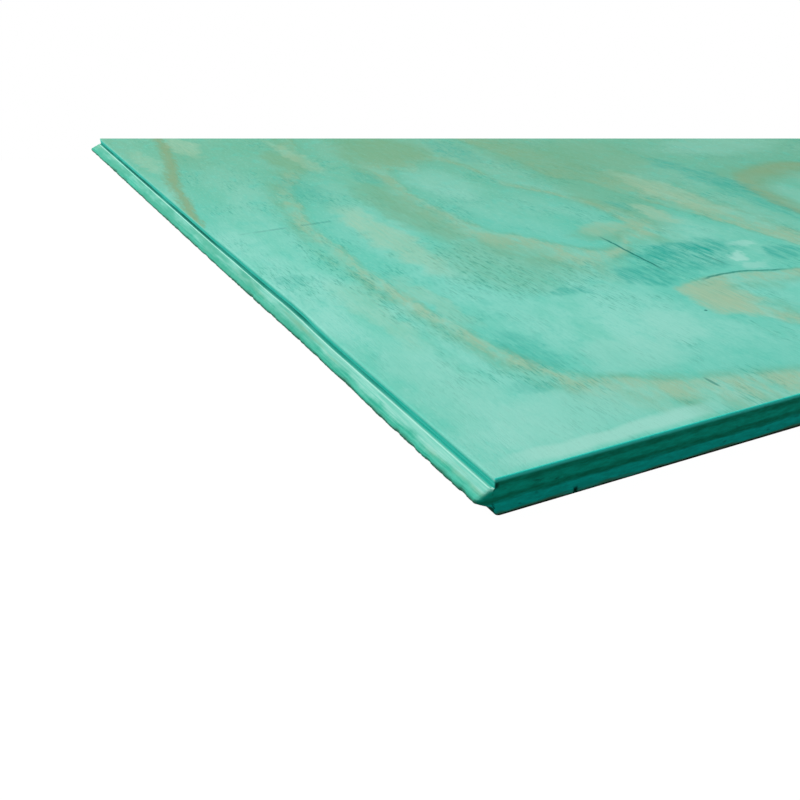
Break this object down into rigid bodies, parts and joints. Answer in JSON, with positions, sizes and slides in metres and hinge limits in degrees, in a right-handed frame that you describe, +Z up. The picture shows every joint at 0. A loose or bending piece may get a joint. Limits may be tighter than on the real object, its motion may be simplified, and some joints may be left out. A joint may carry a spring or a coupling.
{
  "type": "tongue and groove plywood sheet",
  "caption": "Flat plywood sheet dyed turquoise green, with a tongue along one long edge and a matching groove along the other, for decking a floor or roof.",
  "frame": {"origin": "on the floor under the middle of the sheet, tongue included", "axes": "+X across the sheet from the tongued edge at -X to the grooved edge at +X, +Y along the sheet and the face grain, +Z up through the face veneer"},
  "size_m": [1.2072, 2.4, 0.015],
  "materials": {
    "face_veneer": "sanded, dyed turquoise green",
    "cross_veneer": "cut edge, dyed turquoise green, grain across the sheet",
    "core_veneer": "cut edge, dyed dark green, grain along the sheet",
    "back_veneer": "unsanded, dyed turquoise green"
  },
  "bodies": {
    "root": {"back_veneer": "back_veneer", "lower_cross_veneer": "cross_veneer", "core_veneer": "core_veneer", "upper_cross_veneer": "cross_veneer", "face_veneer": "face_veneer"}
  },
  "joints": []
}
